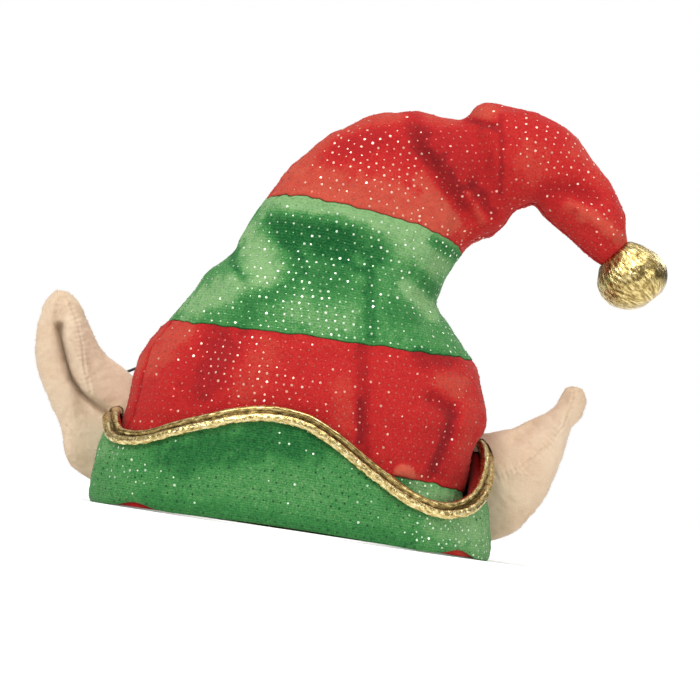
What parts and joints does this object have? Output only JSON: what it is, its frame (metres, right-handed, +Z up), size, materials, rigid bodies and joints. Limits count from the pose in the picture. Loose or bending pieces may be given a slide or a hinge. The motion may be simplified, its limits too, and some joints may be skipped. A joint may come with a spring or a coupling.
{
  "type": "pet elf hat",
  "caption": "Soft pet elf hat: striped velour crown with a bent tail and gilt ball, a scalloped turned-up cuff with gilt piping, plush ears and a chin elastic.",
  "frame": {"origin": "middle of the head opening, at the level of the cuff's lower rim, which stands on the ground", "axes": "+X to the side where the tail falls, -Y to the front, +Z up"},
  "size_m": [0.2577, 0.1095, 0.1902],
  "materials": {
    "red_velour": "short-pile velour with small foil dots",
    "green_velour": "short-pile velour with small foil dots",
    "gilt_cloth": "crinkled metallic cloth",
    "peach_plush": "short plush",
    "black_elastic": "braided elastic cord"
  },
  "bodies": {
    "root": {"crown_base_band": "green_velour", "crown_lower_band": "red_velour", "crown_middle_band": "green_velour", "crown_tail": "red_velour", "cuff": "green_velour", "cuff_facing": "red_velour", "cuff_piping": "gilt_cloth", "ear_left": "peach_plush", "ear_right": "peach_plush", "tip_ball": "gilt_cloth", "chin_elastic": "black_elastic"}
  },
  "joints": []
}
